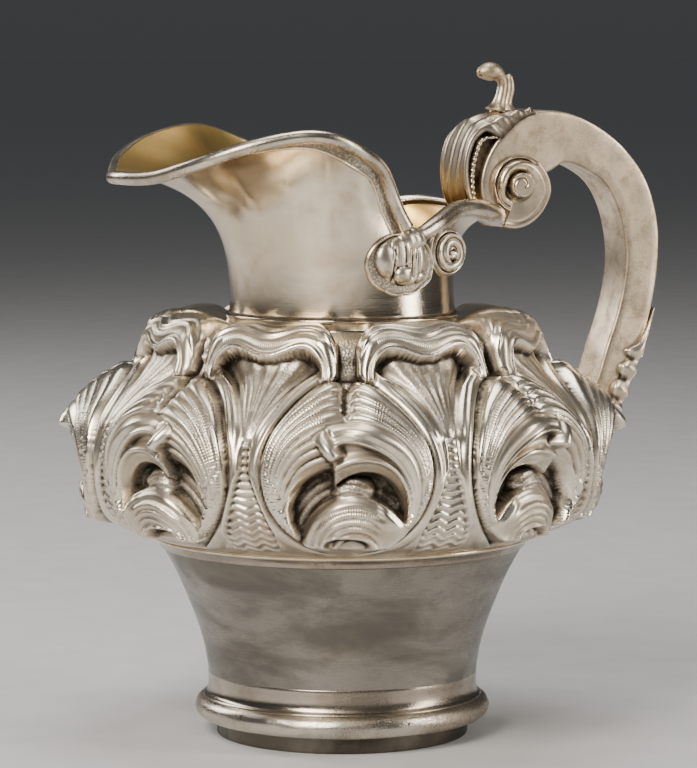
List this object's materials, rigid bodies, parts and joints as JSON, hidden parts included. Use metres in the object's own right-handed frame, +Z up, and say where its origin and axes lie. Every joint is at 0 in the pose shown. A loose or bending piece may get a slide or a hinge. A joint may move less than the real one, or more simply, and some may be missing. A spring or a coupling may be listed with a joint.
{
  "type": "water pitcher",
  "caption": "Tall-necked silver water pitcher with a chased scroll-lobed body, helmet spout, moulded foot and square-section leaf-mounted scroll handle.",
  "frame": {"origin": "on the table, under the middle of the whole object's bounding box; the vessel's own axis stands 17.2 mm towards the spout from it", "axes": "+Z up along the vessel's axis, +X towards the handle, -X towards the spout, Y across"},
  "size_m": [0.2308, 0.1964, 0.256],
  "materials": {
    "satin_silver": "hand-brushed sterling silver with mottled tarnish",
    "polished_silver": "polished silver with fine wear",
    "chased_silver": "chased and matted silver, dark oxide in the recesses, bright crests",
    "worn_silver": "worn and pitted silver with warm tarnish",
    "handle_silver": "satin silver with warm beige tarnish",
    "gilt_lined_silver": "polished silver outside, gilt inside"
  },
  "bodies": {
    "root": {"foot_rim": "worn_silver", "foot_moulding": "worn_silver", "foot_cavetto": "satin_silver", "bottom_plate": "satin_silver", "lower_body": "satin_silver", "girdle_wire": "polished_silver", "chased_band": "chased_silver", "neck_collar": "polished_silver", "neck_and_spout": "gilt_lined_silver", "spout_rim_moulding": "polished_silver", "rear_rim_right": "polished_silver", "rear_rim_left": "polished_silver", "shell_ornament_right": "chased_silver", "shell_ornament_left": "chased_silver", "side_scroll_right": "chased_silver", "side_scroll_left": "chased_silver", "handle_cheek_left": "handle_silver", "handle_cheek_right": "handle_silver", "handle_outer_strip": "handle_silver", "handle_inner_strip": "handle_silver", "volute_boss_right": "handle_silver", "volute_boss_left": "handle_silver", "handle_top_leaf": "chased_silver", "thumb_finial": "polished_silver", "handle_lower_leaf": "chased_silver"}
  },
  "joints": []
}
